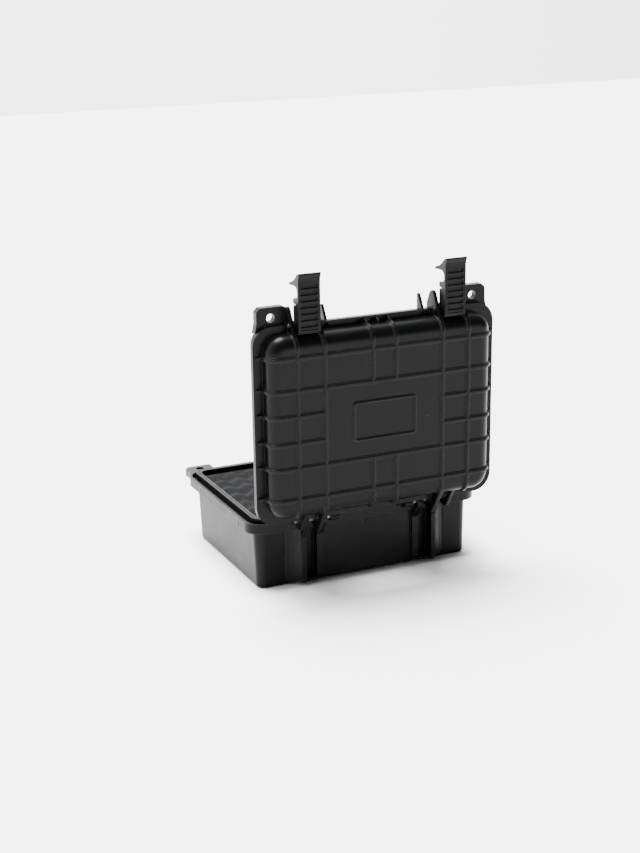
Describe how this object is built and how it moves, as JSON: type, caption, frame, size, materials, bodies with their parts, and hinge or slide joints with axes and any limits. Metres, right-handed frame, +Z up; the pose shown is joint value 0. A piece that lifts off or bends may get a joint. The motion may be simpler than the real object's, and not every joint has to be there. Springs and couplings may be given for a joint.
{
  "type": "small protective equipment case",
  "caption": "Small moulded hard equipment case, standing open, with a ribbed hinged lid, flip latches, a fold-down handle and grey foam inside.",
  "frame": {"origin": "centre of the base's underside, on the surface the case stands on", "axes": "+Z up, +X to the right across the width as seen from the front, -Y towards the latches and the handle, +Y towards the hinges"},
  "size_m": [0.2684, 0.2715, 0.341],
  "materials": {
    "shell_plastic": "satin, fine moulded grain",
    "latch_plastic": "satin, fine moulded grain",
    "valve_plastic": "satin",
    "seal_rubber": "dull",
    "membrane": "matt woven",
    "foam": "open-cell foam",
    "pin_steel": "bright drawn"
  },
  "bodies": {
    "base": {"base_shell": "shell_plastic", "valve_housing": "valve_plastic", "valve_seal": "seal_rubber", "valve_nut": "valve_plastic", "valve_membrane": "membrane", "valve_cap": "valve_plastic", "base_floor_foam": "foam", "base_block_foam": "foam", "base_wave_foam": "foam", "hinge_pins": "pin_steel", "handle_pins": "pin_steel"},
    "lid": {"lid_shell": "shell_plastic", "lid_gasket": "seal_rubber", "lid_wave_foam": "foam", "latch_pins": "pin_steel"},
    "latch_right": {"latch_right": "latch_plastic"},
    "latch_left": {"latch_left": "latch_plastic"},
    "handle": {"handle": "latch_plastic"}
  },
  "joints": [
    {"name": "lid_hinge", "type": "hinge", "parent": "base", "child": "lid", "pos_m": [0, 0.1097, 0.0752], "axis": [1, 0, 0], "range_deg": [0, 91.4]},
    {"name": "latch_right_pivot", "type": "hinge", "parent": "lid", "child": "latch_right", "pos_m": [0.0804, 0.1324, 0.28761], "axis": [1, 0, 0], "range_deg": [0, 90]},
    {"name": "latch_left_pivot", "type": "hinge", "parent": "lid", "child": "latch_left", "pos_m": [-0.0804, 0.1324, 0.28761], "axis": [1, 0, 0], "range_deg": [0, 90]},
    {"name": "handle_hinge", "type": "hinge", "parent": "base", "child": "handle", "pos_m": [0, -0.0996, 0.0575], "axis": [-1, 0, 0], "range_deg": [0, 100]}
  ]
}
